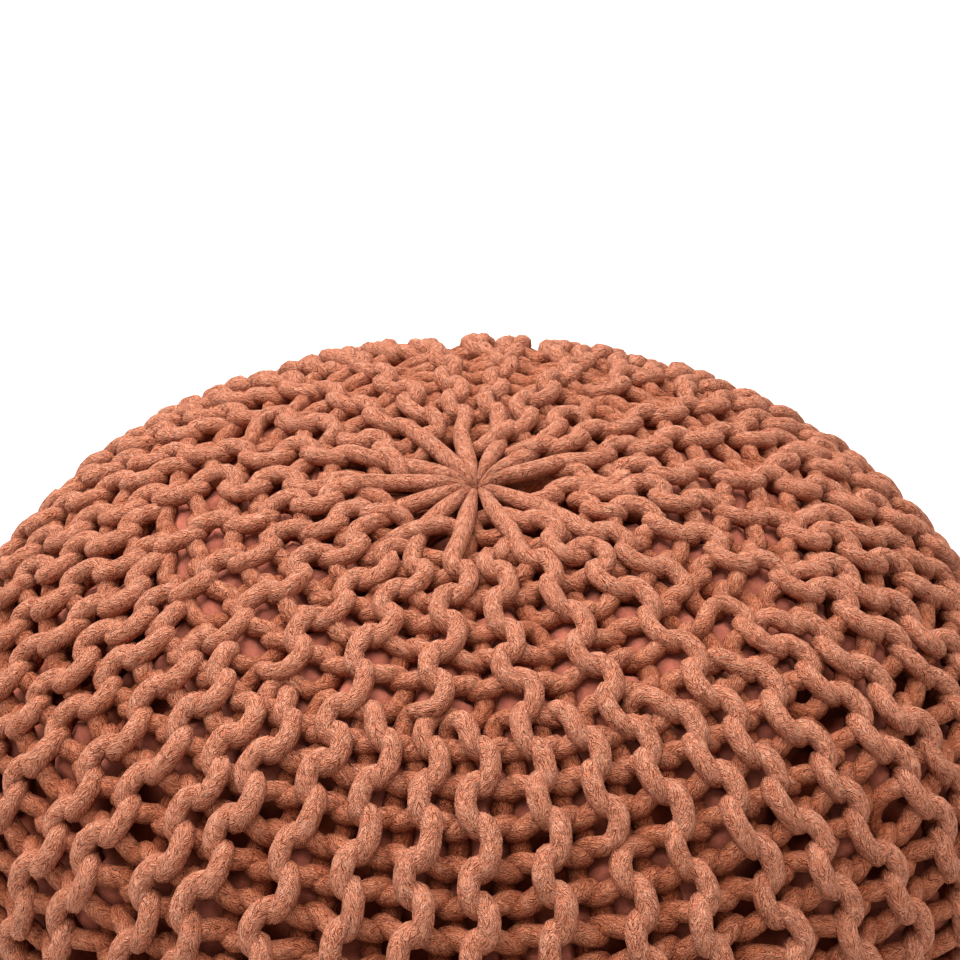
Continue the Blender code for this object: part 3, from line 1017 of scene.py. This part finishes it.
def knit_sectors(loops, material):
    """The knit in equal sectors of whole ridges."""
    per_sector = RIDGES // SECTORS
    for sector in range(SECTORS):
        own = loops[sector * per_sector : (sector + 1) * per_sector]
        piece = cord_mesh(f"knit_sector_{sector + 1}", own, material)
        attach(piece, BODY)
        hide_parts("knit_cover")


def casing(loops, material):
    piece = casing_mesh("casing_cloth_cover", loops, material)
    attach(piece, BODY)
    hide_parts("inner_casing")


# ---------------------------------------------------------------- stage
FLOOR_REACH = 6
FLOOR_COLOUR = (0.9, 0.9, 0.9, 1)
FLOOR_ROUGHNESS = 0.9
WORLD_COLOUR = (1, 0.95, 0.91, 1)
WORLD_STRENGTH = 0.45
LIGHTS_FACE = Vector((0, 0, 0.2))
# Name, place, width and power of each light.
LIGHTS = (
    ("key_light", (-1.2, 0.9, 2.0), 1.2, 28),
    ("top_light", (-0.2, 0.3, 2.3), 3.0, 87),
    ("fill_light", (-0.6, -1.8, 1.5), 1.4, 1),
)
CAMERA_AT = (0, -0.7854, 0.8374)
CAMERA_TURN = (math.radians(56.47), 0, math.radians(-0.12))
LENS = 81.94
SENSOR = 36


def studio_floor():
    mesh = bpy.data.meshes.new("floor")
    far = FLOOR_REACH
    mesh.from_pydata([(-far, -far, 0), (far, -far, 0), (far, far, 0), (-far, far, 0)], [], [(0, 1, 2, 3)])
    mesh.materials.append(floor_look())
    floor = bpy.data.objects.new("floor", mesh)
    bpy.context.scene.collection.objects.link(floor)


def studio_world():
    world = bpy.data.worlds.new("studio")
    world.use_nodes = True
    background = world.node_tree.nodes["Background"]
    background.inputs["Color"].default_value = WORLD_COLOUR
    background.inputs["Strength"].default_value = WORLD_STRENGTH
    bpy.context.scene.world = world


def area_light(name, location, size, power):
    data = bpy.data.lights.new(name, "AREA")
    data.shape = "DISK"
    data.size = size
    data.energy = power
    light = bpy.data.objects.new(name, data)
    light.location = location
    light.rotation_euler = (LIGHTS_FACE - Vector(location)).to_track_quat("-Z", "Y").to_euler()
    bpy.context.scene.collection.objects.link(light)


def photo_camera():
    camera = bpy.data.objects.new("camera", bpy.data.cameras.new("camera"))
    camera.location = CAMERA_AT
    camera.rotation_euler = CAMERA_TURN
    camera.data.lens = LENS
    camera.data.sensor_width = SENSOR
    bpy.context.scene.collection.objects.link(camera)
    return camera


laid_loops = [even_loop(ridge_loop(ridge), NODE_STEP) for ridge in range(RIDGES)]
settled_loops = relax(laid_loops)
knit_sectors(settled_loops, cord_look())
casing(settled_loops, cloth_look())

studio_floor()
studio_world()
for light in LIGHTS:
    area_light(*light)
scene = bpy.context.scene
scene.camera = photo_camera()
scene.view_settings.view_transform = "Standard"
